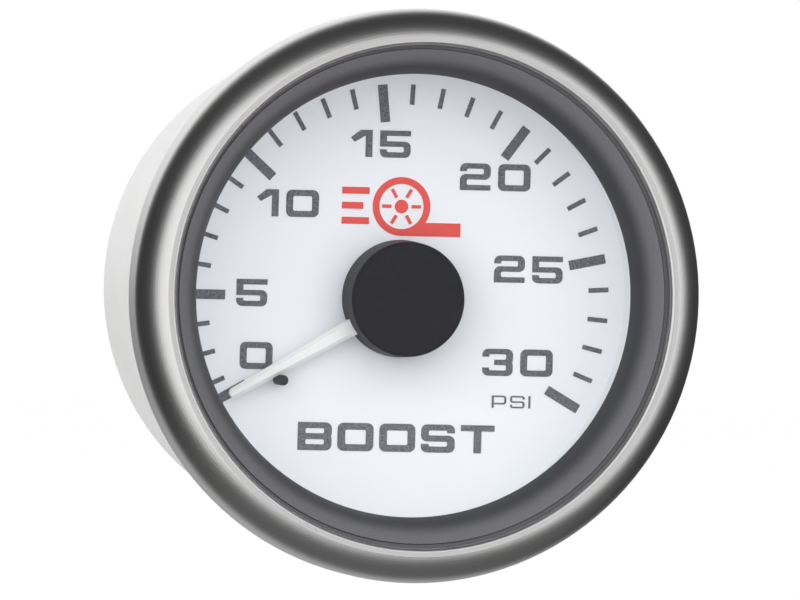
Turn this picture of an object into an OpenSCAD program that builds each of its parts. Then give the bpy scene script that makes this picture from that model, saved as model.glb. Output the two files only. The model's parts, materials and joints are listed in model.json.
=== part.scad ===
// Mechanical boost gauge for a 52 mm panel hole, 0 to 30 psi, with a Bourdon tube movement.
// Millimetres. +Z is up, the dial faces -Y, and the origin lies on the case's axis in the
// plane of the bezel's rear face, where the gauge seats on its panel.
// Each piece is drawn in the gauge's own frame, x right, y up and z towards the viewer,
// and gauge() or shaft() then turns it into the frame above.

/* [Case] */
// Outside diameter of the case behind the panel
case_d = 52.3; // [51:0.1:56]
// Depth of the case behind the panel seat
case_depth = 39.5; // [39.5:0.5:50]
// Thickness of the case wall
case_wall = 1; // [0.8:0.1:1.2]

/* [Bezel] */
// How far the bezel stands out beyond the case, on each side
bezel_overhang = 3.85; // [3.6:0.05:5]
// Height of the bezel in front of the panel seat
bezel_h = 7.85; // [7.6:0.05:9]
// Length of the bezel's straight flank
bezel_flank = 3.9; // [3:0.1:4.5]
// Thickness of the bezel's sheet metal
bezel_skin = 0.65; // [0.5:0.05:0.8]

/* [Face] */
// Depth of the dial face behind the panel seat
dial_depth = 6.5; // [6:0.1:7]
// Thickness of the dial plate
dial_t = 1; // [0.8:0.1:1.4]
// Thickness of the lens
lens_t = 1.5; // [1.2:0.1:1.8]
// How far the black trim ring covers the rim of the dial
lip_inset = 1.95; // [1.7:0.05:2.4]
// Gap between the scale marks and the edge of the trim ring
scale_gap = 0.6; // [0.4:0.1:1.2]
// Height of the numerals
numeral_h = 2.85; // [2.4:0.05:3]
// How far the pointer shaft and the dial print sit below the case axis
axis_drop = 0.45; // [0:0.05:0.6]

/* [Pointer] */
// Radius of the pointer hub where it meets the dial
hub_r = 6.2; // [5:0.1:7]
// Height of the hub's front above the dial face
hub_h = 5.2; // [4.6:0.1:5.8]
// Length of the needle from the shaft to its tip
needle_l = 21; // [18:0.5:22]
// Width of the needle at the hub
needle_w = 1.78; // [1.4:0.02:2.2]

/* [Movement] */
// Gear module of the pinion and the sector
gear_module = 0.25; // [0.24:0.01:0.26]
// Radius of the Bourdon tube's centre line
tube_r = 18.5; // [18:0.1:19]
// Length of the sector's tail, from its arbor to the link
tail_l = 5; // [4.6:0.1:5.2]

/* [Rear] */
// Diameter of the pressure stem over its thread
stem_d = 10.28; // [9:0.1:11]
// How far the pressure stem reaches behind the case
stem_l = 12.5; // [10:0.5:16]
// Distance between the two mounting studs
stud_spacing = 29; // [27:0.5:32]
// Diameter of the mounting studs
stud_d = 4; // [3.5:0.5:4]

/* [Hidden] */
$fn = 96;
fine_fn = 192;
small_fn = 32;
overrun = 1;
fit_gap = 0.15;
running_gap = 0.04;

// Case and the stack of pieces behind the lens
case_r = case_d / 2;
case_ir = case_r - case_wall;
flange_top = bezel_skin + case_wall;
bezel_r = case_r + bezel_overhang;
flange_gap = 0.25;
flange_r = bezel_r - bezel_skin - flange_gap;
case_edge_r = 1.2;
floor_t = 1.2;
case_back = -case_depth;
floor_z = case_back + floor_t;
inner_r = case_ir - fit_gap;
spacer_h = 6.6;
spacer_t = 0.65;
dial_z = -dial_depth;
lens_z = dial_z + spacer_h;
lens_top = lens_z + lens_t;
gasket_t = 0.3;
gasket_w = 1.2;
lip_z = lens_top + gasket_t;
lip_r = case_ir - lip_inset;
lip_t = 0.3;
carrier_t = 0.8;
carrier_shelf = 1.6;
carrier_shelf_t = 0.9;

// Bezel section
opening_margin = 0.05;
opening_r = case_r + opening_margin;
seat_margin = 0.9;
seat_r = case_r + seat_margin;
edge_round = 0.3;
roll_w = 2.9;
roll_end = 72;
roll_steps = 18;
band_w = 0.5;
band_groove_w = 0.07;
band_groove_d = 0.08;
lip_round = 0.55;
lip_under_share = 1.55;
lip_under = bezel_h - lip_under_share * bezel_skin;
inner_chamfer = 0.3;

// Trim ring section
trim_margin = 1.45;
trim_r = case_r + trim_margin;
trim_shoulder = 0.45;
trim_groove_d = 0.35;
trim_groove_w = 0.25;
trim_edge_d = 0.1;
trim_from = 22;
trim_to = 76;
trim_steps = 14;

// Scale and print
print_t = 0.06;
scale_r = lip_r - scale_gap;
minor_l = 2.15;
minor_w = 0.49;
major_l = 3.96;
major_w = 1.02;
zero_angle = 210;
five_angle = 180;
psi_step = 8.4;
first_psi = 2;
last_psi = 30;
major_every = 5;
sweep = 240;
// Stroke, bars, corner and width of a glyph, as shares of its height
stroke_share = 0.26;
bar_share = 0.2;
round_bar_share = 0.225;
corner_share = 0.22;
digit_w_share = 1.16;
one_w_share = 0.82;
digit_gap_share = 0.28;
// The flag of a 1, as points in shares of its height
flag_shares = [[0, 0.71], [0.15, 0.55], [0.57, 0.8], [0.57, 1], [0.37, 1]];
// Shares of a glyph's width: a round glyph's own width, where a hook opens, where a 3's bar starts
round_w_share = 1.06;
hook_share = 0.45;
three_bar_share = 0.39;
// Numerals: text, and place as shares of the scale's radius
numeral_shares = [
    ["0", -0.671, -0.280], ["5", -0.699, 0.012], ["10", -0.539, 0.432], ["15", -0.106, 0.719],
    ["20", 0.443, 0.576], ["25", 0.613, 0.149], ["30", 0.572, -0.288]];
// Labels: text, height, letter width, gap and stroke as shares of the numerals' height, place
unit_shares = ["PSI", 0.46, 1.2, 0.31, 0.17, 0.546, -0.472];
word_shares = ["BOOST", 1.04, 1.23, 0.21, 0.28, 0.003, -0.650];
// Round emblem of a compressor with its outlet and three flow bars
emblem_r = 3.1;
emblem_line = 0.72;
emblem_y = 9.7;
emblem_blades = 6;
emblem_half_w = 6.4;
// Shares of the emblem's line: a blade's two ends and width, the bars' spacing, how far they curve in
blade_start_share = 1.5;
blade_end_share = 0.4;
blade_w_share = 0.5;
bar_step_share = 2.2;
bar_end_share = 1.4;
bar_curve_share = 0.9;

// Pointer
hub_gap = 0.35;
hub_taper = 0.15;
hub_round = 0.4;
hub_skin = 1;
needle_t = 0.8;
needle_lift = 1.5;
needle_root = 2.6;
needle_tip_w = 1.05;
needle_side_gap = 0.02;
needle_bevel = 0.25;
stop_r = 15.5;
stop_pin_r = 0.55;
stop_pin_h = 3;
stop_gap = 0.04;
needle_w_at_stop = needle_w + (needle_tip_w - needle_w) * (stop_r - hub_r) / (needle_l - hub_r);
stop_angle = zero_angle + asin((needle_w_at_stop / 2 + stop_pin_r + stop_gap) / stop_r);

// Movement: plates and arbors, as depths behind the panel seat
plate_t = 0.8;
plate_gap = 8.8;
front_plate_z = -13.4;
rear_plate_z = front_plate_z - plate_gap - plate_t;
plate_half_w = 10.2;
plate_up = 7;
plate_corner = 2.2;
pillar_r = 1.4;
pillar_x = 8.2;
pillar_up = 4.8;
screw_r = 0.6;
screw_head_r = 1.3;
screw_head_h = 0.8;
screw_slot_w = 0.35;
screw_grip = 3;
arbor_r = 0.9;
pivot_r = 0.45;
shaft_r = 0.7;
shoulder_gap = 0.3;
pivot_inset = 0.05;
dial_hole_r = 2;

// Gears: teeth on the pinion, and on a full circle of the sector
pinion_teeth = 15;
sector_teeth = 90;
gear_t = 0.8;
gear_z = -18.5;
pinion_extra = 0.4;
pressure_angle = 20;
addendum_share = 0.8;
dedendum_share = 1.15;
backlash_share = 0.09;
gear_distance = gear_module * (pinion_teeth + sector_teeth) / 2;
gear_ratio = sector_teeth / pinion_teeth;
sector_sweep = sweep / gear_ratio;
tooth_pitch = 360 / sector_teeth;
teeth_before = 12;
teeth_after = 2;
rim_w = 1.4;
sector_hub_r = 2.2;
spoke_w = 1.3;
tail_w = 1.9;

// Link and tube: the tube's tip sits at tip_angle, and the link moves along itself as the sector turns
tip_angle = -38.76;
tip_x = tube_r * cos(tip_angle);
tip_y = tube_r * sin(tip_angle);
tip_reach = norm([tip_x, tip_y + gear_distance]);
link_angle = atan2(tip_y + gear_distance, tip_x) + asin(tail_l * cos(sector_sweep / 2) / tip_reach);
tail_angle = link_angle - 90 - sector_sweep / 2;
pin_r = 0.5;
pin_head_r = 0.85;
pin_head_h = 0.35;
open_gap = 0.25;
link_t = 0.6;
link_w = 1.6;
link_eye_r = 1.35;
link_drop = 1.1;
link_z = gear_z - link_drop;
tail_x = tail_l * cos(tail_angle);
tail_y = -gear_distance + tail_l * sin(tail_angle);
link_l = (tip_x - tail_x) * cos(link_angle) + (tip_y - tail_y) * sin(link_angle);
link_sag = tail_l * (1 - cos(sector_sweep / 2)) / 2;
tip_block_l = 2.6;
tip_margin = 0.25;
tip_post_r = 1.1;
tube_thick = 2.2;
tube_w = 7;
tube_wall = 0.35;
arm_w = 5;
arm_end = 1;
arm_gap = 0.3;
tube_z = rear_plate_z - screw_head_h - arm_gap - arm_end - tube_w;
tube_root_angle = 240;
tube_end_angle = tip_angle + asin(tip_block_l / 2 / tube_r);

// Hairspring
collet_r = 1.5;
collet_h = 1.6;
collet_z = -16.2;
spring_t = 0.12;
spring_w = 0.4;
spring_turns = 4;
spring_steps = 18;
spring_stud_x = 5.4;
spring_stud_r = 0.5;
spring_stud_l = 2.6;
spring_out_r = spring_stud_x - spring_stud_r - spring_t / 2;

// Socket block, stem and their fasteners
stem_r = stem_d / 2;
stem_bore_r = 1.6;
stem_chamfer = 0.6;
neck_step = 0.86;
neck_r = stem_r + neck_step;
neck_l = 4.6;
neck_gap = 0.12;
thread_pitch = 0.94;
thread_cut = 0.45;
thread_d = 0.4;
thread_count = floor((stem_l - neck_l - stem_chamfer) / thread_pitch);
stem_gasket_t = 0.8;
block_w = 11;
block_y = -3;
block_flange_r = 8;
block_flange_t = 2.5;
port_r = 0.8;
socket_screw_x = 3.6;
nut_across = 15;
nut_h = 4;
nut_fn = 6;
nut_round = 0.6;

// Lamp
lamp_y = 14.2;
lamp_barrel_r = 4.4;
lamp_flange_r = 5.6;
lamp_flange_t = 2;
lamp_body_r = 4;
lamp_body_l = 4.5;
lamp_in = 1.8;
lamp_grips = 12;
lamp_grip_r = 0.5;
lamp_hole_gap = 0.1;
bulb_r = 2.2;
bulb_base_r = 2;
bulb_base_l = 4;
bulb_l = 1.8;
bulb_gap = 0.05;
blade_w = 4.8;
blade_t = 0.8;
blade_x = 2;
blade_l = 7;
blade_grip = 2.5;
blade_taper = 1.1;
blade_hole_r = 0.8;
blade_hole_up = 2.6;

// Mounting studs
stud_r = stud_d / 2;
stud_l = 13;
stud_head_r = 3.4;
stud_head_h = 0.9;
stud_hole_gap = 0.1;
stud_thread_gap = 0.03;
stud_thread_d = 0.23;
stud_pitch = 0.7;
stud_thread_cut = 0.35;
stud_chamfer = 0.4;
washer_r = 4.2;
washer_t = 0.8;
nut_r = 4.2;
nut_l = 4;
stud_free_l = stud_l - washer_t - nut_l;
stud_thread_count = floor((stud_free_l - stud_chamfer) / stud_pitch);
knurl_count = 20;
knurl_r = 0.3;

// Frames
module gauge() { rotate([90, 0, 0]) children(); }
module shaft() { gauge() translate([0, -axis_drop, 0]) children(); }

// Plain forms
module ring(r_out, r_in, z, h, fn = $fn) {
    translate([0, 0, z]) linear_extrude(h) difference() {
        circle(r_out, $fn = fn);
        circle(r_in, $fn = fn);
    }
}
module disc(r, z, h, fn = $fn) { translate([0, 0, z]) cylinder(r = r, h = h, $fn = fn); }
module block(x0, x1, y0, y1, z0, z1) {
    translate([x0, y0, z0]) cube([x1 - x0, y1 - y0, z1 - z0]);
}
module turned(points, fn = $fn) { rotate_extrude($fn = fn) polygon(points); }
function polar(r, a) = [r * cos(a), r * sin(a)];
module wedge(r, a0, a1) {
    steps = 6;
    polygon(concat([[0, 0]], [for (i = [0:steps]) polar(r, a0 + (a1 - a0) * i / steps)]));
}
module rounded(w, h, r) {
    translate([r, 0]) square([w - 2 * r, h]);
    translate([0, r]) square([w, h - 2 * r]);
    for (x = [r, w - r], y = [r, h - r]) translate([x, y]) circle(r, $fn = small_fn);
}

// Case and bezel
function arc_points(c, r, a0, a1, n) = [for (i = [0:n]) c + polar(r, a0 + (a1 - a0) * i / n)];
module case() {
    color("gainsboro") gauge() difference() {
        turned(concat(
            arc_points([case_r - case_edge_r, case_back + case_edge_r], case_edge_r, -90, 0, 6),
            [[case_r, 0], [seat_r, 0], [seat_r, bezel_skin], [flange_r, bezel_skin], [flange_r, flange_top],
             [case_ir, flange_top], [case_ir, floor_z], [0, floor_z], [0, case_back]]), fine_fn);
        translate([0, -axis_drop, 0])
            disc(neck_r + neck_gap, case_back - overrun, floor_t + 2 * overrun);
        translate([0, lamp_y, 0])
            disc(lamp_barrel_r + lamp_hole_gap, case_back - overrun, floor_t + 2 * overrun);
        for (s = [-1, 1]) translate([s * stud_spacing / 2, 0, 0])
            disc(stud_r + stud_hole_gap, case_back - overrun, floor_t + 2 * overrun, small_fn);
    }
}
// The front roll: an arc that meets the flat band at a slight crease
function roll_point(a) = [
    bezel_r - roll_w * (1 - cos(a)) / (1 - cos(roll_end)),
    bezel_flank + (bezel_h - bezel_flank) * sin(a) / sin(roll_end)];
module bezel() {
    band_r = opening_r + band_w;
    color("slategray") gauge() turned(concat(
        [[seat_r, 0]],
        arc_points([bezel_r - edge_round, edge_round], edge_round, -90, 0, 5),
        [for (i = [0:roll_steps]) roll_point(roll_end * i / roll_steps)],
        [[band_r, bezel_h], [band_r, bezel_h - band_groove_d],
         [band_r - band_groove_w, bezel_h - band_groove_d], [band_r - band_groove_w, bezel_h]],
        [for (a = [75:-15:0]) [
            opening_r + (band_w - band_groove_w) * (1 - cos(a)),
            bezel_h - lip_round * (1 - sin(a))]],
        [[opening_r, lip_under], [trim_r + fit_gap, lip_under],
         [bezel_r - bezel_skin, bezel_flank - inner_chamfer],
         [bezel_r - bezel_skin, bezel_skin], [seat_r, bezel_skin]]), fine_fn);
}

// Front ring and lens stack
module trim_ring() {
    top_r = opening_r - trim_shoulder;
    rise = lip_under - trim_edge_d - lip_z - lip_t;
    function slope(a) = [
        lip_r + (top_r - lip_r) * (cos(trim_from) - cos(a)) / (cos(trim_from) - cos(trim_to)),
        lip_z + lip_t + rise * (sin(a) - sin(trim_from)) / (sin(trim_to) - sin(trim_from))];
    groove_z = lip_under - trim_groove_d;
    color([0.13, 0.13, 0.15]) gauge() turned(concat(
        [[lip_r, lip_z]],
        [for (i = [0:trim_steps]) slope(trim_from + (trim_to - trim_from) * i / trim_steps)],
        [[top_r + trim_groove_w / 2, groove_z], [opening_r, groove_z],
         [opening_r + trim_groove_w, lip_under], [trim_r, lip_under], [trim_r, flange_top],
         [case_ir - fit_gap, flange_top], [case_ir - fit_gap, lip_z]]), fine_fn);
}
module lens_gasket() {
    color([0.1, 0.1, 0.1]) gauge() ring(inner_r, inner_r - gasket_w, lens_top, gasket_t, fine_fn);
}
module lens() { color([0.9, 0.95, 1, 0.3]) gauge() disc(inner_r, lens_z, lens_t, fine_fn); }
module spacer_ring() {
    color("white") gauge() ring(inner_r, inner_r - spacer_t, dial_z, spacer_h, fine_fn);
}
module dial_carrier() {
    color("whitesmoke") gauge() {
        ring(inner_r, inner_r - carrier_t, floor_z, dial_z - dial_t - floor_z, fine_fn);
        ring(inner_r, inner_r - carrier_shelf, dial_z - dial_t - carrier_shelf_t, carrier_shelf_t, fine_fn);
    }
}

// Dial and its print
module dial() {
    color("white") gauge() difference() {
        disc(inner_r, dial_z - dial_t, dial_t, fine_fn);
        translate([0, -axis_drop, 0]) {
            disc(dial_hole_r, dial_z - dial_t - overrun, dial_t + 2 * overrun);
            rotate([0, 0, stop_angle]) translate([stop_r, 0, 0])
                disc(stop_pin_r, dial_z - dial_t - overrun, dial_t + 2 * overrun, small_fn);
        }
    }
}
module tick(a, l, w) { rotate(a) translate([scale_r - l, -w / 2]) square([l, w]); }
// A glyph's parts: an open or closed band w wide and h high, with its corner radius and strokes
module band(w, h, c, sx, sy) {
    difference() {
        rounded(w, h, c);
        translate([sx, sy]) rounded(w - 2 * sx, h - 2 * sy, max(c - sx, c / 4));
    }
}
module glyph(ch, h, w, sx) {
    sy = sx * bar_share / stroke_share;
    c = h * corner_share;
    mid = (h - sy) / 2;
    slot = (mid - sy) / 2;
    // A figure's lower half, open on its left above a stub that reaches up to keep
    module hook(keep) {
        difference() {
            band(w, mid + sy, c, sx, sy);
            translate([-overrun, keep]) square([w * hook_share + overrun, mid + sy]);
        }
    }
    module over() { translate([0, h]) mirror([0, 1]) children(); }
    module turned_over() { translate([w, h]) rotate(180) children(); }
    if (ch == "0" || ch == "O") band(w, h, c, sx, sx * round_bar_share / stroke_share);
    if (ch == "1") {
        translate([h * one_w_share - sx, 0]) square([sx, h]);
        polygon(h * flag_shares);
    }
    if (ch == "2") {
        over() hook(sy + slot);
        translate([w, 0]) mirror([1, 0]) hook(sy);
        square([w, sy]);
    }
    if (ch == "3") {
        over() hook(sy + slot);
        hook(sy + slot);
        translate([w * three_bar_share, mid]) square([w / 2 - w * three_bar_share, sy]);
    }
    if (ch == "5") {
        hook(sy + slot);
        translate([0, mid]) square([w / 2, sy]);
        translate([0, mid]) square([sx, h - mid]);
        translate([0, h - sy]) square([w, sy]);
    }
    if (ch == "S") {
        hook(sy + slot);
        turned_over() hook(sy + slot);
    }
    if (ch == "B") {
        band(w, mid + sy, c, sx, sy);
        translate([0, mid]) band(w, mid + sy, c, sx, sy);
        square([sx, h]);
    }
    if (ch == "P") {
        translate([0, mid - slot]) band(w, mid + sy + slot, c, sx, sy);
        square([sx, h]);
    }
    if (ch == "T") {
        translate([0, h - sy]) square([w, sy]);
        translate([(w - sx) / 2, 0]) square([sx, h]);
    }
    if (ch == "I") square([sx, h]);
}
function glyph_w(ch, h, w, sx) = ch == "1" ? h * one_w_share : ch == "I" ? sx
    : ch == "0" || ch == "O" ? w * round_w_share : w;
function word_w(s, h, w, sx, gap, i = 0) = i >= len(s) ? -gap
    : glyph_w(s[i], h, w, sx) + gap + word_w(s, h, w, sx, gap, i + 1);
module word(s, h, w, sx, gap, i = 0, x = 0) {
    if (i < len(s)) {
        translate([x, 0]) glyph(s[i], h, glyph_w(s[i], h, w, sx), sx);
        word(s, h, w, sx, gap, i + 1, x + glyph_w(s[i], h, w, sx) + gap);
    }
}
module centred(s, h, w, sx, gap, place) {
    translate(place * scale_r) translate([-word_w(s, h, w, sx, gap) / 2, -h / 2])
        word(s, h, w, sx, gap);
}
module label(l) {
    h = numeral_h * l[1];
    centred(l[0], h, h * l[2], h * l[4], h * l[3], [l[5], l[6]]);
}
module printed() { shaft() translate([0, 0, dial_z]) linear_extrude(print_t) children(); }
module dial_marks() {
    color("dimgray") printed() {
        tick(zero_angle, major_l, major_w);
        for (p = [first_psi:last_psi]) {
            size = p % major_every == 0 ? [major_l, major_w] : [minor_l, minor_w];
            tick(five_angle - psi_step * (p - major_every), size[0], size[1]);
        }
        for (n = numeral_shares)
            centred(n[0], numeral_h, numeral_h * digit_w_share, numeral_h * stroke_share,
                numeral_h * digit_gap_share, [n[1], n[2]]);
        label(unit_shares);
        label(word_shares);
    }
}
module dial_emblem() {
    inner = emblem_r - emblem_line;
    blade_from = blade_start_share * emblem_line;
    blade_to = inner - blade_end_share * emblem_line;
    color("red") printed() translate([0, emblem_y]) {
        difference() {
            union() {
                circle(emblem_r);
                translate([0, -emblem_r]) square([emblem_half_w, 2 * emblem_line]);
            }
            circle(inner);
        }
        circle(emblem_line);
        for (i = [0:emblem_blades - 1]) rotate(360 * i / emblem_blades)
            translate([blade_from, -blade_w_share * emblem_line / 2])
                square([blade_to - blade_from, blade_w_share * emblem_line]);
        for (i = [-1, 0, 1]) translate([-emblem_half_w, (i * bar_step_share - 1 / 2) * emblem_line])
            square([emblem_half_w - emblem_r - emblem_line * (bar_end_share - abs(i) * bar_curve_share),
                emblem_line]);
    }
}
module stop_pin() {
    color([0.1, 0.1, 0.1]) shaft() rotate([0, 0, stop_angle]) translate([stop_r, 0, 0])
        disc(stop_pin_r, dial_z - dial_t, dial_t + stop_pin_h, small_fn);
}

// Pointer: hub, needle and the arbor that carries them
needle_z = dial_z + needle_lift;
hub_z = dial_z + hub_gap;
hub_top = dial_z + hub_h;
module needle_outline(gap) {
    tip_r = needle_tip_w / 2;
    polygon([[needle_root, -needle_w / 2 - gap], [hub_r, -needle_w / 2 - gap],
        [needle_l - tip_r, -tip_r - gap], [needle_l - tip_r, tip_r + gap],
        [hub_r, needle_w / 2 + gap], [needle_root, needle_w / 2 + gap]]);
    translate([needle_l - tip_r, 0]) circle(tip_r + gap, $fn = small_fn);
}
module pointer_hub() {
    front_r = hub_r - hub_taper;
    color([0.15, 0.15, 0.17]) shaft() difference() {
        turned(concat([[shaft_r, hub_z], [hub_r, hub_z]],
            arc_points([front_r - hub_round, hub_top - hub_round], hub_round, 0, 90, 6),
            [[0, hub_top], [0, hub_top - hub_skin], [shaft_r, hub_top - hub_skin]]));
        rotate([0, 0, zero_angle]) translate([0, 0, needle_z]) linear_extrude(needle_t)
            needle_outline(needle_side_gap);
    }
}
module pointer_needle() {
    color("white") shaft() rotate([0, 0, zero_angle]) translate([0, 0, needle_z]) difference() {
        linear_extrude(needle_t) needle_outline(0);
        for (s = [-1, 1]) translate([hub_r, s * needle_w / 2, needle_t])
            rotate([0, 0, -s * atan((needle_w - needle_tip_w) / 2 / (needle_l - hub_r))])
                rotate([45, 0, 0]) translate([overrun / 2, -needle_bevel, -needle_bevel])
                    cube([needle_l, 2 * needle_bevel, 2 * needle_bevel]);
    }
}
shoulder_rear = rear_plate_z + plate_t + shoulder_gap;
shoulder_front = front_plate_z - shoulder_gap;
module pinion_arbor() {
    pinion_z = gear_z - pinion_extra;
    color("silver") shaft() {
        disc(pivot_r, rear_plate_z + pivot_inset, shoulder_rear - rear_plate_z - pivot_inset, small_fn);
        disc(arbor_r, shoulder_rear, shoulder_front - shoulder_rear, small_fn);
        disc(shaft_r, shoulder_front, hub_top - hub_skin - shoulder_front, small_fn);
        rotate([0, 0, -90 + 180 / pinion_teeth]) translate([0, 0, pinion_z])
            linear_extrude(gear_t + 2 * pinion_extra) gear(pinion_teeth, 0, pinion_teeth - 1);
    }
}

// Gears: involute teeth numbered from first to last, the first one centred on +x
function involute(a) = tan(a) * 180 / PI - a;
module gear(teeth, first, last) {
    pitch_r = gear_module * teeth / 2;
    base_r = pitch_r * cos(pressure_angle);
    tip_r = pitch_r + gear_module * addendum_share;
    root_r = pitch_r - gear_module * dedendum_share;
    start_r = max(base_r, root_r);
    steps = 4;
    half = 90 / teeth * (1 - backlash_share) + involute(pressure_angle);
    function flank(r) = half - involute(acos(min(1, base_r / r)));
    radii = [for (i = [0:steps]) start_r + (tip_r - start_r) * i / steps];
    circle(root_r + (first == 0 ? gear_module * backlash_share : 0));
    for (i = [first:last]) rotate(i * 360 / teeth)
        polygon(concat([[0, 0], polar(root_r, -flank(start_r))],
            [for (r = radii) polar(r, -flank(r))],
            [for (i = [steps:-1:0]) polar(radii[i], flank(radii[i]))],
            [polar(root_r, flank(start_r))]));
}
module sector_gear() {
    from = -teeth_before - 1;
    to = teeth_after + 1;
    root_r = gear_module * (sector_teeth / 2 - dedendum_share);
    color("goldenrod") shaft() translate([0, -gear_distance, gear_z]) linear_extrude(gear_t) difference() {
        union() {
            intersection() {
                difference() {
                    rotate(90) gear(sector_teeth, -teeth_before, teeth_after);
                    circle(root_r - rim_w);
                }
                wedge(2 * root_r, 90 + from * tooth_pitch, 90 + to * tooth_pitch);
            }
            for (i = [from + 1, (from + to) / 2, to - 1]) rotate(90 + i * tooth_pitch)
                translate([0, -spoke_w / 2]) square([root_r - rim_w / 2, spoke_w]);
            circle(sector_hub_r, $fn = small_fn);
            rotate(tail_angle) translate([0, -tail_w / 2]) square([tail_l, tail_w]);
            rotate(tail_angle) translate([tail_l, 0]) circle(tail_w / 2 + tip_margin, $fn = small_fn);
        }
        circle(arbor_r, $fn = small_fn);
        rotate(tail_angle) translate([tail_l, 0]) circle(pin_r, $fn = small_fn);
    }
}
module sector_arbor() {
    color("silver") shaft() translate([0, -gear_distance, 0]) {
        disc(pivot_r, rear_plate_z + pivot_inset, shoulder_rear - rear_plate_z - pivot_inset, small_fn);
        disc(arbor_r, shoulder_rear, shoulder_front - shoulder_rear, small_fn);
        disc(pivot_r, shoulder_front, front_plate_z + plate_t - pivot_inset - shoulder_front, small_fn);
    }
}
module link_pin() {
    color("silver") shaft() translate([tail_x, tail_y, 0]) {
        disc(pin_head_r, link_z - running_gap - pin_head_h, pin_head_h, small_fn);
        disc(pin_r, link_z - running_gap, gear_z + gear_t - link_z + running_gap, small_fn);
        disc(pin_head_r, link_z + link_t + running_gap, gear_z - link_z - link_t - running_gap, small_fn);
    }
}
module drive_link() {
    sag = polar(link_l, link_angle) + polar(link_sag, link_angle + 90);
    color("silver") shaft() translate([tail_x, tail_y, link_z]) linear_extrude(link_t) difference() {
        union() {
            rotate(link_angle) translate([0, -link_w / 2]) square([link_l, link_w]);
            circle(link_eye_r, $fn = small_fn);
            translate(sag) circle(link_eye_r, $fn = small_fn);
        }
        circle(pin_r + running_gap, $fn = small_fn);
        translate(sag) circle(pin_r + open_gap, $fn = small_fn);
    }
}

// Hairspring
module hairspring_collet() {
    color("gold") shaft() ring(collet_r, arbor_r, collet_z, collet_h, small_fn);
}
module hairspring() {
    count = spring_turns * spring_steps;
    in_r = collet_r + spring_t / 2;
    rise = (spring_out_r - in_r) / count;
    spring_z = collet_z + (collet_h - spring_w) / 2;
    function at(i, side) = polar(in_r + rise * i + side * spring_t / 2, 360 * i / spring_steps);
    color("steelblue") shaft() translate([0, 0, spring_z]) linear_extrude(spring_w)
        polygon(concat([for (i = [0:count]) at(i, 1)], [for (i = [count:-1:0]) at(i, -1)]));
}

// Movement plates, pillars and screws
pillar_low = gear_distance + tail_l;
plate_down = pillar_low + plate_corner;
pillar_places = [for (s = [-1, 1], y = [pillar_up, -pillar_low]) [s * pillar_x, y]];
module plate_blank(holes_r, screw_hole_r) {
    linear_extrude(plate_t) difference() {
        translate([-plate_half_w, -plate_down])
            rounded(2 * plate_half_w, plate_down + plate_up, plate_corner);
        circle(holes_r[0], $fn = small_fn);
        translate([0, -gear_distance]) circle(holes_r[1], $fn = small_fn);
        for (p = pillar_places) translate(p) circle(screw_hole_r, $fn = small_fn);
    }
}
module front_plate() {
    color("goldenrod") shaft() {
        translate([0, 0, front_plate_z]) plate_blank([shaft_r + running_gap, pivot_r + running_gap], screw_r);
        translate([spring_stud_x, 0, 0])
            disc(spring_stud_r, front_plate_z - spring_stud_l, spring_stud_l, small_fn);
    }
}
module rear_plate() {
    color("goldenrod") shaft() difference() {
        translate([0, 0, rear_plate_z]) plate_blank([pivot_r + running_gap, pivot_r + running_gap], screw_r);
        for (s = [-1, 1]) translate([s * socket_screw_x, block_y, 0])
            disc(screw_r, rear_plate_z - overrun, plate_t + 2 * overrun, small_fn);
    }
}
module plate_pillars() {
    color("gold") shaft() for (p = pillar_places) translate(p) difference() {
        disc(pillar_r, rear_plate_z + plate_t, plate_gap, small_fn);
        disc(screw_r, front_plate_z - screw_grip, screw_grip + overrun, small_fn);
        disc(screw_r, rear_plate_z + plate_t - overrun, screw_grip + overrun, small_fn);
    }
}
// A slotted screw with its head on z and its shank below it
module slotted_screw(z, shank_l) {
    difference() {
        disc(screw_head_r, z, screw_head_h, small_fn);
        block(-screw_head_r - overrun, screw_head_r + overrun, -screw_slot_w / 2, screw_slot_w / 2,
            z + screw_head_h / 2, z + screw_head_h + overrun);
    }
    disc(screw_r, z - shank_l, shank_l, small_fn);
}
module plate_screws() {
    color("silver") shaft() for (p = pillar_places) translate(p) {
        slotted_screw(front_plate_z + plate_t, plate_t + screw_grip);
        translate([0, 0, rear_plate_z]) rotate([180, 0, 0]) slotted_screw(0, plate_t + screw_grip);
    }
}

// Bourdon tube, its tip and the socket block
module flat_tube(thick, w) {
    translate([tube_r - thick / 2, tube_z + (tube_w - w) / 2 + thick / 2]) square([thick, w - thick]);
    for (s = [-1, 1]) translate([tube_r, tube_z + tube_w / 2 + s * (w - thick) / 2])
        circle(thick / 2, $fn = small_fn);
}
module bourdon_tube() {
    color("peru") shaft() rotate([0, 0, tube_end_angle])
        rotate_extrude(angle = tube_root_angle - tube_end_angle, $fn = fine_fn) difference() {
            flat_tube(tube_thick, tube_w);
            flat_tube(tube_thick - 2 * tube_wall, tube_w - 2 * tube_wall);
        }
}
module tube_tip() {
    block_z = tube_z - tip_margin;
    block_h = tube_w + 2 * tip_margin;
    color("peru") shaft() {
        rotate([0, 0, tube_end_angle])
            block(tube_r - tube_thick / 2 - tip_margin, tube_r + tube_thick / 2 + tip_margin, -tip_block_l, 0,
                block_z, block_z + block_h);
        translate([tip_x, tip_y, 0]) {
            disc(tip_post_r, block_z + block_h / 2, link_z - shoulder_gap - block_z - block_h / 2, small_fn);
            disc(pin_r, link_z - shoulder_gap, link_t + 2 * shoulder_gap + pin_head_h, small_fn);
            disc(pin_head_r, link_z + link_t + shoulder_gap, pin_head_h, small_fn);
        }
    }
}
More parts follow.
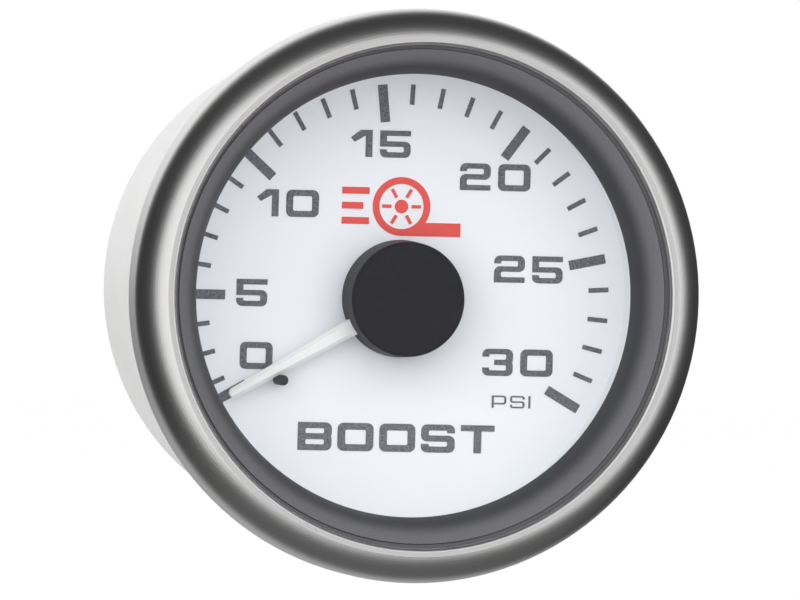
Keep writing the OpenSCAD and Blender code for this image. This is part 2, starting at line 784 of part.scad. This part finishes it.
module socket() {
    flange_z = floor_z + stem_gasket_t;
    stem_end = case_back - stem_l;
    neck_end = case_back - neck_l;
    port_z = tube_z + tube_w / 2;
    block_top = rear_plate_z;
    color("darkgoldenrod") shaft() difference() {
        union() {
            disc(block_flange_r, flange_z, block_flange_t);
            block(-block_w / 2, block_w / 2, block_y - block_w / 2, block_y + block_w / 2,
                flange_z, block_top);
            rotate([0, 0, tube_root_angle])
                block(0, tube_r + tube_thick / 2 + arm_end, 0, arm_w, flange_z, tube_z + tube_w + arm_end);
            turned([[0, stem_end], [stem_r - stem_chamfer, stem_end], [stem_r, stem_end + stem_chamfer],
                [stem_r, neck_end], [neck_r, neck_end], [neck_r, flange_z], [0, flange_z]]);
        }
        for (i = [1:thread_count])
            ring(stem_r + overrun, stem_r - thread_d, neck_end - i * thread_pitch, thread_cut);
        disc(stem_bore_r, stem_end - overrun, port_z - stem_end + overrun, small_fn);
        rotate([0, 0, tube_root_angle]) translate([0, arm_w / 2, port_z]) {
            rotate([0, 90, 0]) disc(port_r, 0, tube_r, small_fn);
            translate([tube_r, 0, 0]) rotate([90, 0, 0]) disc(port_r, 0, arm_w / 2 + overrun, small_fn);
        }
        for (s = [-1, 1]) translate([s * socket_screw_x, block_y, 0])
            disc(screw_r, block_top - screw_grip, screw_grip + overrun, small_fn);
    }
}
module socket_screws() {
    color("silver") shaft() for (s = [-1, 1]) translate([s * socket_screw_x, block_y, 0])
        slotted_screw(rear_plate_z + plate_t, plate_t + screw_grip);
}
module stem_gasket() {
    color([0.12, 0.12, 0.12]) shaft() ring(block_flange_r, neck_r, floor_z, stem_gasket_t);
}
module stem_nut() {
    across = nut_across / cos(180 / nut_fn);
    color("goldenrod") shaft() difference() {
        intersection() {
            rotate([0, 0, 180 / nut_fn]) disc(across / 2, case_back - nut_h, nut_h, nut_fn);
            turned([[0, case_back - nut_h], [nut_across / 2, case_back - nut_h],
                [across / 2, case_back - nut_h + nut_round], [across / 2, case_back], [0, case_back]]);
        }
        disc(neck_r + stud_thread_gap, case_back - nut_h - overrun, nut_h + 2 * overrun);
    }
}

// Lamp
module at_lamp() { gauge() translate([0, lamp_y, 0]) children(); }
lamp_end = case_back - lamp_flange_t - lamp_body_l;
lamp_front = case_back + floor_t + lamp_in;
// Two flat blades, each with a tapered tip and a hole that a wire's receptacle snaps on
module blades() {
    tip_z = lamp_end - blade_l;
    top_z = lamp_end + blade_grip;
    w = blade_w / 2;
    for (s = [-1, 1]) translate([s * blade_x - blade_t / 2, 0, 0]) difference() {
        rotate([90, 0, 90]) linear_extrude(blade_t) polygon([[blade_taper - w, tip_z], [w - blade_taper, tip_z],
            [w, tip_z + blade_taper], [w, top_z], [-w, top_z], [-w, tip_z + blade_taper]]);
        translate([-overrun, 0, tip_z + blade_hole_up]) rotate([0, 90, 0])
            disc(blade_hole_r, 0, blade_t + 2 * overrun, small_fn);
    }
}
module lamp_holder() {
    color([0.15, 0.15, 0.15]) at_lamp() difference() {
        union() {
            disc(lamp_barrel_r, case_back, lamp_front - case_back);
            disc(lamp_flange_r, case_back - lamp_flange_t, lamp_flange_t);
            disc(lamp_body_r, lamp_end, lamp_body_l);
        }
        disc(bulb_base_r + bulb_gap, lamp_front - bulb_base_l, bulb_base_l + overrun);
        for (i = [0:lamp_grips - 1]) rotate([0, 0, 360 * i / lamp_grips]) translate([lamp_flange_r, 0, 0])
            disc(lamp_grip_r, case_back - lamp_flange_t - overrun, lamp_flange_t + overrun / 2, small_fn);
        blades();
    }
}
module lamp_terminals() { color("gold") at_lamp() blades(); }
module bulb() {
    base_z = lamp_front - bulb_base_l;
    color([1, 0.95, 0.8, 0.6]) at_lamp() turned(concat(
        [[0, base_z], [bulb_base_r, base_z], [bulb_base_r, lamp_front], [bulb_r, lamp_front]],
        arc_points([0, lamp_front + bulb_l], bulb_r, 0, 90, 8)), small_fn);
}

// Mounting studs with their washers and knurled nuts
module at_studs() { gauge() for (s = [-1, 1]) translate([s * stud_spacing / 2, 0, 0]) children(); }
// Each stud's thread stands free behind its nut. In the nut the two threads meet at stud_core_r.
stud_core_r = stud_r - stud_thread_d;
module mounting_studs() {
    end_z = case_back - stud_l;
    free_z = end_z + stud_free_l;
    function thread(i) = [[stud_r, free_z - i * stud_pitch],
        [stud_r, free_z - (i - 1) * stud_pitch - stud_thread_cut],
        [stud_core_r, free_z - (i - 1) * stud_pitch - stud_thread_cut],
        [stud_core_r, free_z - (i - 1) * stud_pitch]];
    color("silver") at_studs() turned(concat(
        [[0, end_z], [stud_r - stud_chamfer, end_z], [stud_r, end_z + stud_chamfer]],
        [for (i = [stud_thread_count:-1:1], p = thread(i)) p],
        [[stud_core_r, floor_z], [stud_head_r, floor_z], [stud_head_r, floor_z + stud_head_h],
         [0, floor_z + stud_head_h]]), small_fn);
}
module stud_washers() {
    color("silver") at_studs()
        ring(washer_r, stud_r + stud_thread_gap, case_back - washer_t, washer_t, small_fn);
}
module stud_nuts() {
    z = case_back - washer_t - nut_l;
    color("silver") at_studs() difference() {
        disc(nut_r, z, nut_l);
        disc(stud_core_r + stud_thread_gap, z - overrun, nut_l + 2 * overrun, small_fn);
        for (i = [0:knurl_count - 1]) rotate([0, 0, 360 * i / knurl_count]) translate([nut_r, 0, 0])
            disc(knurl_r, z - overrun, nut_l + 2 * overrun, small_fn / 2);
    }
}

case();
bezel();
trim_ring();
lens_gasket();
lens();
spacer_ring();
dial();
dial_marks();
dial_emblem();
stop_pin();
dial_carrier();
pointer_hub();
pointer_needle();
pinion_arbor();
hairspring_collet();
hairspring();
front_plate();
rear_plate();
plate_pillars();
plate_screws();
sector_gear();
sector_arbor();
link_pin();
drive_link();
bourdon_tube();
tube_tip();
socket();
socket_screws();
stem_gasket();
stem_nut();
lamp_holder();
lamp_terminals();
bulb();
mounting_studs();
stud_washers();
stud_nuts();
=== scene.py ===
import json
import math

import bpy
from mathutils import Matrix, Vector


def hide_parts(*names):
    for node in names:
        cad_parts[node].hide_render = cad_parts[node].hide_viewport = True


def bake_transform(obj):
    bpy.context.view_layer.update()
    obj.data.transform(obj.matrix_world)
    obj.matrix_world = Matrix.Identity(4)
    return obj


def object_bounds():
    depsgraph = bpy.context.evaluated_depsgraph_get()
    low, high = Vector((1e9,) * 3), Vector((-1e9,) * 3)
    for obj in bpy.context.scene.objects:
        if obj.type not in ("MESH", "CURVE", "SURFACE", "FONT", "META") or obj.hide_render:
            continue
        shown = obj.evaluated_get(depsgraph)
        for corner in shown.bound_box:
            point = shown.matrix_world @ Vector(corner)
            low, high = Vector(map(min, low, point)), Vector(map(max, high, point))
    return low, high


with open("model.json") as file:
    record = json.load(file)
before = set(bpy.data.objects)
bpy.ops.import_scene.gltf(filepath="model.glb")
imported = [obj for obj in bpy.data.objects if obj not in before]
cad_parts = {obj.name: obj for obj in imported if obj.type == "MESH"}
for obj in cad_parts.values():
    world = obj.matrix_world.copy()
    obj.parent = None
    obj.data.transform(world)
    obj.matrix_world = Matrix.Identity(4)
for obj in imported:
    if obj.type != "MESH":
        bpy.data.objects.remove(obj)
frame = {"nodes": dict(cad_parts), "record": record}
nodes = frame["nodes"]
cad_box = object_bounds()

MM = 0.001

# Camera: angles in degrees, turned about the middle of the scale. VIEW_SHIFT is where that middle
# lies from the camera, to the right, down and forward. The focal length is in the photo's pixels.
SCALE_CENTRE = Vector((0.0, 6.5 * MM, -0.45 * MM))
VIEW_ELEVATION = 1.20
VIEW_AZIMUTH = -11.28
VIEW_ROLL = 1.5
VIEW_SHIFT = Vector((-0.194 * MM, -0.170 * MM, 1010.0 * MM))
VIEW_FOCAL_PIXELS = 9577.0
IMAGE_W = 800
SENSOR_W = 36.0


def degrees(angle, axis):
    return Matrix.Rotation(math.radians(angle), 3, axis)


def add_camera():
    """Sees the gauge at the photograph's angle"""
    to_image = Matrix(((1, 0, 0), (0, 0, -1), (0, 1, 0)))
    turn = degrees(VIEW_ELEVATION, "X") @ degrees(VIEW_AZIMUTH, "Y") @ degrees(VIEW_ROLL, "Z")
    from_world = turn @ to_image
    place = SCALE_CENTRE - from_world.transposed() @ VIEW_SHIFT
    facing = from_world.transposed() @ Matrix.Diagonal((1, -1, -1))
    data = bpy.data.cameras.new("camera")
    data.sensor_width = SENSOR_W
    data.lens = VIEW_FOCAL_PIXELS * SENSOR_W / IMAGE_W
    camera = bpy.data.objects.new("camera", data)
    camera.matrix_world = Matrix.Translation(place) @ facing.to_4x4()
    bpy.context.scene.collection.objects.link(camera)
    bpy.context.scene.camera = camera


# Materials

# Noise values gather round the middle, and most of them lie within the reach of it
NOISE_MIDDLE = 0.5
NOISE_REACH = 0.2


class Nodes:
    """Short names for making and joining the nodes of one tree"""

    def __init__(self, tree):
        self.tree = tree

    def node(self, kind, **inputs):
        made = self.tree.nodes.new(kind)
        for name, value in inputs.items():
            self.feed(made.inputs[name.replace("_", " ")], value)
        return made

    def feed(self, socket, value):
        if isinstance(value, bpy.types.NodeSocket):
            self.tree.links.new(value, socket)
        else:
            socket.default_value = value

    def math(self, operation, a, b):
        made = self.node("ShaderNodeMath")
        made.operation = operation
        self.feed(made.inputs[0], a)
        self.feed(made.inputs[1], b)
        return made.outputs[0]

    def vector_math(self, operation, a, b=(0, 0, 0)):
        made = self.node("ShaderNodeVectorMath")
        made.operation = operation
        self.feed(made.inputs[0], a)
        self.feed(made.inputs[1], b)
        return made.outputs

    def remap(self, value, low, high, to_low, to_high, kind="LINEAR"):
        made = self.node("ShaderNodeMapRange", Value=value, From_Min=low, From_Max=high, To_Min=to_low,
                         To_Max=to_high)
        made.interpolation_type = kind
        return made.outputs["Result"]


class Look(Nodes):
    """A material with one Principled shader, and short names for the nodes that vary it"""

    def __init__(self, name, color, roughness, metallic=0.0):
        self.material = bpy.data.materials.new(name)
        self.material.use_nodes = True
        super().__init__(self.material.node_tree)
        self.shader = self.tree.nodes["Principled BSDF"]
        self.output = self.tree.nodes["Material Output"]
        self.color = color
        self.roughness = roughness
        self.set("Base Color", (*color, 1))
        self.set("Roughness", roughness)
        self.set("Metallic", metallic)
        self.place = self.node("ShaderNodeTexCoord").outputs["Object"]

    def set(self, name, value):
        self.feed(self.shader.inputs[name], value)

    def noise(self, size, detail=3, roughness=0.6, place=None):
        """Smooth random values from 0 to 1, with features of about this size in metres"""
        made = self.node("ShaderNodeTexNoise", Vector=place or self.place, Scale=1 / size, Detail=detail,
                         Roughness=roughness)
        return made.outputs["Fac"]

    def stretched(self, scale):
        """The piece's coordinates, scaled along X, Y and Z"""
        return self.node("ShaderNodeMapping", Vector=self.place, Scale=scale).outputs["Vector"]

    def from_axis(self):
        """Distance from the gauge's own axis, which runs along Y"""
        flat = self.vector_math("MULTIPLY", self.place, (1, 0, 1))["Vector"]
        return self.vector_math("LENGTH", flat)["Value"]

    def blend(self, factor, a, b):
        """Colour a where the factor is 0, and colour b where it is 1"""
        made = self.node("ShaderNodeMix")
        made.data_type = "RGBA"
        self.feed(made.inputs["Factor"], factor)
        self.feed(made.inputs["A"], (*a, 1) if isinstance(a, tuple) else a)
        self.feed(made.inputs["B"], (*b, 1) if isinstance(b, tuple) else b)
        return made.outputs["Result"]

    def spread(self, noise, low, high, reach=NOISE_REACH):
        """From low to high, as the noise goes from its middle less the reach to its middle plus it"""
        return self.remap(noise, NOISE_MIDDLE - reach, NOISE_MIDDLE + reach, low, high)

    def vary_color(self, noise, amount, reach=NOISE_REACH):
        """Colour from a darker to a lighter shade of the material's own"""
        dark = tuple(c * (1 - amount) for c in self.color)
        light = tuple(min(1.0, c * (1 + amount)) for c in self.color)
        mixed = self.blend(self.spread(noise, 0, 1, reach), dark, light)
        self.set("Base Color", mixed)
        return mixed

    def vary_roughness(self, noise, amount):
        """Roughness from this much below the material's own to this much above it"""
        self.set("Roughness", self.spread(noise, self.roughness - amount, self.roughness + amount))

    def bump(self, height, depth, strength=1.0):
        """Relief of this depth in metres"""
        made = self.node("ShaderNodeBump", Strength=strength, Distance=depth, Height=height)
        self.set("Normal", made.outputs["Normal"])

    def show(self, factor, first, second):
        """The material's surface: the first shader where the factor is 0, the second where it is 1"""
        mixed = self.node("ShaderNodeMixShader")
        for socket, value in zip(mixed.inputs, (factor, first.outputs[0], second.outputs[0])):
            self.feed(socket, value)
        self.feed(self.output.inputs["Surface"], mixed.outputs[0])


def case_look():
    look = Look("case_satin_white", (0.80, 0.80, 0.795), 0.42)
    look.vary_color(look.noise(9 * MM, detail=2), 0.018, reach=0.15)
    peel = look.noise(0.7 * MM, detail=2, roughness=0.5)
    look.vary_roughness(peel, 0.06)
    look.bump(peel, 0.012 * MM)
    return look.material


def bezel_look():
    look = Look("bezel_satin_titanium", (0.60, 0.595, 0.592), 0.34, metallic=1.0)
    grain = look.noise(0.16 * MM, detail=4, roughness=0.7)
    look.vary_color(grain, 0.06)
    look.vary_roughness(grain, 0.05)
    look.bump(grain, 0.012 * MM, strength=0.8)
    return look.material


# The black ring has light and shade painted into its colour by radius: a painted sheen makes its crest
# paler, and painted shade keeps it darker down beside the dial
TRIM_PAINTED_SHEEN = (0.138, 0.136, 0.146)
TRIM_PAINTED_SHADE = (0.052, 0.052, 0.058)
TRIM_SHEEN_FULL_R = 25.0 * MM
TRIM_SHADE_FULL_R = 23.7 * MM


def trim_look():
    look = Look("trim_satin_black", TRIM_PAINTED_SHEEN, 0.52)
    look.set("Specular IOR Level", 0.15)
    grain = look.noise(0.14 * MM)
    # The crest's colour, varied by the grain, which carries the painted sheen
    painted_sheen_color = look.vary_color(grain, 0.12)
    # Painted light by radius: from painted shade beside the dial to the painted sheen on the crest
    height = look.remap(look.from_axis(), TRIM_SHADE_FULL_R, TRIM_SHEEN_FULL_R, 0, 1, "SMOOTHSTEP")
    look.set("Base Color", look.blend(height, TRIM_PAINTED_SHADE, painted_sheen_color))
    look.vary_roughness(grain, 0.05)
    look.bump(grain, 0.006 * MM, strength=0.7)
    return look.material


def rubber_look():
    look = Look("black_rubber", (0.022, 0.022, 0.022), 0.7)
    grain = look.noise(0.25 * MM, detail=4)
    look.vary_color(grain, 0.2)
    look.bump(grain, 0.015 * MM)
    return look.material


def glass_look(name, tint, roughness):
    """Clear glass that lets lamps through, so that what lies behind it is lit"""
    look = Look(name, tint, roughness)
    look.set("Transmission Weight", 1.0)
    look.set("IOR", 1.49)
    look.set("Specular IOR Level", 0.12)
    look.vary_roughness(look.noise(6 * MM, detail=2), roughness / 2)
    clear = look.node("ShaderNodeBsdfTransparent", Color=(*tint, 1))
    rays = look.node("ShaderNodeLightPath").outputs
    let_through = look.math("MAXIMUM", rays["Is Shadow Ray"], rays["Is Diffuse Ray"])
    look.show(let_through, look.shader, clear)
    return look.material


def white_plastic_look():
    look = Look("white_plastic", (0.86, 0.87, 0.885), 0.45)
    look.vary_color(look.noise(1.6 * MM), 0.012, reach=0.15)
    look.bump(look.noise(0.3 * MM, detail=2), 0.004 * MM)
    return look.material


def dial_look():
    look = Look("dial_white_enamel", (0.89, 0.91, 0.945), 0.5)
    speck = look.noise(0.22 * MM)
    look.vary_color(speck, 0.014)
    look.vary_roughness(look.noise(7 * MM, detail=2), 0.05)
    look.bump(speck, 0.003 * MM)
    return look.material


def ink_look(name, color, amount):
    look = Look(name, color, 0.55)
    grain = look.noise(0.19 * MM, detail=4, roughness=0.75)
    look.vary_color(grain, amount, reach=0.1)
    look.bump(grain, 0.006 * MM)
    return look.material


def hub_look():
    look = Look("hub_matte_black", (0.0205, 0.0200, 0.0245), 0.5)
    look.set("Specular IOR Level", 0.2)
    grain = look.noise(0.16 * MM, detail=4, roughness=0.7)
    look.vary_color(grain, 0.35, reach=0.15)
    look.bump(grain, 0.018 * MM)
    return look.material


def needle_look():
    look = Look("needle_satin_white", (0.88, 0.88, 0.87), 0.38)
    look.set("Subsurface Weight", 0.1)
    look.set("Subsurface Radius", (0.6 * MM, 0.6 * MM, 0.6 * MM))
    grain = look.noise(0.4 * MM)
    look.vary_color(grain, 0.012)
    look.bump(grain, 0.003 * MM)
    return look.material


def metal_look(name, color, roughness, cut_size, tarnish):
    """Turned or drawn metal: fine lines round the piece's axis, and a slow change of colour"""
    look = Look(name, color, roughness, metallic=1.0)
    look.vary_color(look.noise(3 * MM), tarnish)
    cuts = look.noise(cut_size, roughness=0.5, place=look.stretched((1, 6, 1)))
    look.vary_roughness(cuts, 0.08)
    look.bump(cuts, 0.008 * MM, strength=0.8)
    return look.material


def moulded_look():
    look = Look("lamp_moulded_black", (0.025, 0.025, 0.026), 0.5)
    grain = look.noise(0.3 * MM)
    look.vary_color(grain, 0.2)
    look.bump(grain, 0.012 * MM)
    return look.material


def dress_nodes():
    """Gives each CAD node the look of its material slot in the record"""
    looks = {
        "case": case_look(),
        "bezel": bezel_look(),
        "black_trim": trim_look(),
        "rubber": rubber_look(),
        "lens": glass_look("lens_clear", (0.995, 0.998, 1.0), 0.02),
        "white_plastic": white_plastic_look(),
        "dial_face": dial_look(),
        "ink": ink_look("ink_grey", (0.138, 0.142, 0.166), 0.6),
        "red_ink": ink_look("ink_red", (0.82, 0.092, 0.080), 0.08),
        "hub_black": hub_look(),
        "needle_white": needle_look(),
        "brass": metal_look("brass_machined", (0.72, 0.52, 0.24), 0.3, 0.3 * MM, 0.12),
        "phosphor_bronze": metal_look("bronze_drawn", (0.62, 0.36, 0.20), 0.34, 0.4 * MM, 0.18),
        "steel": metal_look("steel_turned", (0.42, 0.43, 0.44), 0.28, 0.25 * MM, 0.1),
        "spring_steel": metal_look("steel_blued", (0.20, 0.25, 0.38), 0.3, 0.25 * MM, 0.2),
        "zinc": metal_look("zinc_plated", (0.36, 0.37, 0.36), 0.34, 0.35 * MM, 0.14),
        "lamp_black": moulded_look(),
        "bulb_glass": glass_look("bulb_clear", (1.0, 0.97, 0.88), 0.03),
    }
    for subpart in frame["record"]["subparts"]:
        mesh = nodes[subpart["node"]].data
        mesh.materials.clear()
        mesh.materials.append(looks[subpart["material_slot"]])


def bend_tube():
    """The Bourdon tube's own shape again, as a separate piece in place of the CAD node"""
    tube = bpy.data.objects.new("bourdon_tube_bending", nodes["bourdon_tube"].data.copy())
    bpy.context.scene.collection.objects.link(tube)
    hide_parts("bourdon_tube")
    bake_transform(tube)


# Room: a white world, two softboxes, a pale floor, and a studio that only shiny surfaces see

# Levels are brightnesses, where 1 is white. Places and sizes are in metres, in the gauge's frame.
WORLD_FILL = 0.70
SOFTBOX_LEVEL = 1.2
FRONT_SOFTBOX_PLACE = (0.0, -1.1, 0.45)
FRONT_SOFTBOX_SIZE = (2.2, 1.3)
LEFT_SOFTBOX_PLACE = (-0.95, -0.55, 0.28)
LEFT_SOFTBOX_SIZE = (0.9, 0.9)

FLOOR_DROP = 60 * MM
FLOOR_SIZE = 6.0
FLOOR_WHITE = 0.88
FLOOR_GLOW = 1.06
FLOOR_GLOW_SHARE = 0.85

# The studio is a dark room with discs of light. For each, its azimuth from the front (-Y) towards
# the viewer's right, its elevation, the angle round it that is fully lit, the angle at which it has
# faded out, and its level. All angles are in degrees.
ROOM_LEVEL = 0.05
ROOM_DISCS = (
    (-24, 3, 30, 46, 1.45),
    (28, 3, 30, 46, 1.35),
    (0, 12, 22, 39, 1.35),
    (0, -12, 10, 50, 0.80),
    (180, 22, 12, 36, 1.35),
    (180, -30, 5, 42, 0.60),
    (0, -90, 25, 75, 0.16),
)
# The unlit spot in front, which the lens mirrors into the camera: a disc's values without a level
LENS_SPOT = (9.5, -1.0, 5.0, 11.0)


def room_disc(made, direction, azimuth, elevation, full, fade, level):
    """Light of this level round one direction, faded out softly"""
    turn = math.radians(azimuth)
    lift = math.radians(elevation)
    middle = (math.sin(turn) * math.cos(lift), -math.cos(turn) * math.cos(lift), math.sin(lift))
    toward = made.vector_math("DOT_PRODUCT", direction, middle)["Value"]
    at_fade = math.cos(math.radians(fade))
    at_full = math.cos(math.radians(full))
    return made.remap(toward, at_fade, at_full, 0, level, "SMOOTHSTEP")


def add_world():
    """White to the camera, an even fill for matt surfaces, and the studio for shiny ones"""
    world = bpy.data.worlds.new("studio")
    world.use_nodes = True
    made = Nodes(world.node_tree)
    direction = made.node("ShaderNodeTexCoord").outputs["Generated"]
    mirrored = ROOM_LEVEL
    for disc in ROOM_DISCS:
        mirrored = made.math("MAXIMUM", mirrored, room_disc(made, direction, *disc))
    around_spot = made.math("SUBTRACT", 1.0, room_disc(made, direction, *LENS_SPOT, 1.0))
    mirrored = made.math("MULTIPLY", mirrored, around_spot)
    rays = made.node("ShaderNodeLightPath").outputs
    level = made.remap(rays["Is Camera Ray"], 0, 1, WORLD_FILL, 1.0)
    shiny = made.math("MAXIMUM", rays["Is Glossy Ray"], rays["Is Transmission Ray"])
    back = made.tree.nodes["Background"]
    made.feed(back.inputs["Color"], (1, 1, 1, 1))
    made.feed(back.inputs["Strength"], made.remap(shiny, 0, 1, level, mirrored))
    bpy.context.scene.world = world


def add_lamp(name, place, size, radiance):
    """A softbox aimed at the gauge, which lights it but shows in no reflection"""
    data = bpy.data.lights.new(name, "AREA")
    data.shape = "RECTANGLE"
    data.size, data.size_y = size
    data.energy = radiance * math.pi * data.size * data.size_y
    lamp = bpy.data.objects.new(name, data)
    lamp.location = place
    lamp.rotation_euler = (-Vector(place)).to_track_quat("-Z", "Y").to_euler()
    lamp.visible_camera = False
    lamp.visible_glossy = False
    lamp.visible_transmission = False
    bpy.context.scene.collection.objects.link(lamp)


def floor_look():
    """White to the camera apart from a soft shadow, and a plain pale floor to every other ray"""
    look = Look("floor_white", (FLOOR_WHITE,) * 3, 1.0)
    look.set("Specular IOR Level", 0.0)
    glow = look.node("ShaderNodeEmission", Strength=FLOOR_GLOW)
    rays = look.node("ShaderNodeLightPath").outputs
    look.show(look.math("MULTIPLY", rays["Is Camera Ray"], FLOOR_GLOW_SHARE), look.shader, glow)
    return look.material


def add_floor():
    """A square floor, below the gauge's lowest point"""
    half = FLOOR_SIZE / 2
    low = cad_box[0][2] - FLOOR_DROP
    corners = [(-half, -half, low), (half, -half, low), (half, half, low), (-half, half, low)]
    mesh = bpy.data.meshes.new("floor")
    mesh.from_pydata(corners, [], [(0, 1, 2, 3)])
    mesh.materials.append(floor_look())
    floor = bpy.data.objects.new("floor", mesh)
    floor.visible_glossy = False
    bpy.context.scene.collection.objects.link(floor)


def add_room():
    add_world()
    add_lamp("front_softbox", FRONT_SOFTBOX_PLACE, FRONT_SOFTBOX_SIZE, SOFTBOX_LEVEL)
    add_lamp("left_softbox", LEFT_SOFTBOX_PLACE, LEFT_SOFTBOX_SIZE, SOFTBOX_LEVEL)
    add_floor()


add_camera()
dress_nodes()
bend_tube()
add_room()
bpy.context.scene.view_settings.view_transform = "Standard"
